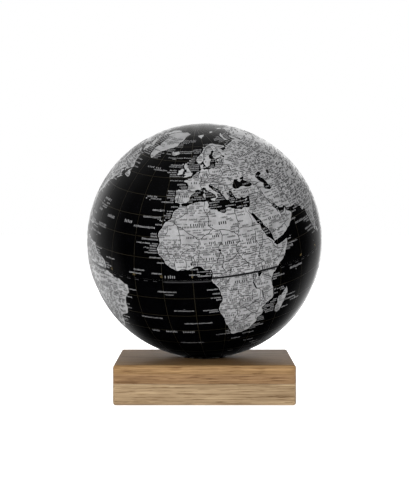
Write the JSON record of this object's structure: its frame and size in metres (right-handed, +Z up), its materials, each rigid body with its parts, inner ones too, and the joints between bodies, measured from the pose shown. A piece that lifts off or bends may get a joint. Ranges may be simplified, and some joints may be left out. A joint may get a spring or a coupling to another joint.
{
  "type": "desktop globe",
  "caption": "Desktop world globe: a loose printed ball that rolls on ball casters in a round black plate, let into a square oak block.",
  "frame": {"origin": "centre of the underside of the foot pads", "axes": "+Z up, -Y towards the front; the oak's grain runs along X"},
  "size_m": [0.2396, 0.24, 0.279],
  "materials": {
    "oak": "oiled, fine open grain",
    "black_plastic": "fine satin texture",
    "white_plastic": "plain moulded acetal",
    "steel": "polished",
    "felt": "pressed felt",
    "printed_shell": "glossy black print with silver land",
    "printed_tape": "glossy printed tape",
    "raw_plastic": "unpainted, as moulded"
  },
  "bodies": {
    "stand": {"upper_board": "oak", "lower_board": "oak", "bearing_plate": "black_plastic", "caster_cup_1": "white_plastic", "caster_cup_2": "white_plastic", "caster_cup_3": "white_plastic", "retaining_ring_1": "steel", "retaining_ring_2": "steel", "retaining_ring_3": "steel", "plate_screw_1": "steel", "plate_screw_2": "steel", "plate_screw_3": "steel", "foot_pad_1": "felt", "foot_pad_2": "felt", "foot_pad_3": "felt", "foot_pad_4": "felt"},
    "globe_core": {"joint_ring": "raw_plastic"},
    "globe": {"north_hemisphere": "printed_shell", "south_hemisphere": "printed_shell", "equator_band": "printed_tape"},
    "ball_1": {"support_ball_1": "steel"},
    "ball_2": {"support_ball_2": "steel"},
    "ball_3": {"support_ball_3": "steel"}
  },
  "joints": [
    {"name": "globe_tilt", "type": "hinge", "parent": "stand", "child": "globe_core", "pos_m": [0, 0, 0.15906], "axis": [1, 0, 0], "continuous": true},
    {"name": "globe_spin", "type": "hinge", "parent": "globe_core", "child": "globe", "pos_m": [0, 0, 0.15906], "axis": [-0.0703, -0.2807, 0.9572], "continuous": true},
    {"name": "ball_roll_1", "type": "hinge", "parent": "stand", "child": "ball_1", "pos_m": [0, -0.0105, 0.0352], "axis": [0.1907, 0.9816, 0.0012], "continuous": true},
    {"name": "ball_roll_2", "type": "hinge", "parent": "stand", "child": "ball_2", "pos_m": [0.00909, 0.00525, 0.0352], "axis": [-0.0128, 0.9845, 0.175], "continuous": true},
    {"name": "ball_roll_3", "type": "hinge", "parent": "stand", "child": "ball_3", "pos_m": [-0.00909, 0.00525, 0.0352], "axis": [0.5103, 0.8525, 0.1134], "continuous": true}
  ],
  "couplings": [
    {"joint": "ball_roll_1", "follows": "globe_spin", "ratio": 11.059},
    {"joint": "ball_roll_2", "follows": "globe_spin", "ratio": 7.2615},
    {"joint": "ball_roll_3", "follows": "globe_spin", "ratio": 8.4016}
  ]
}
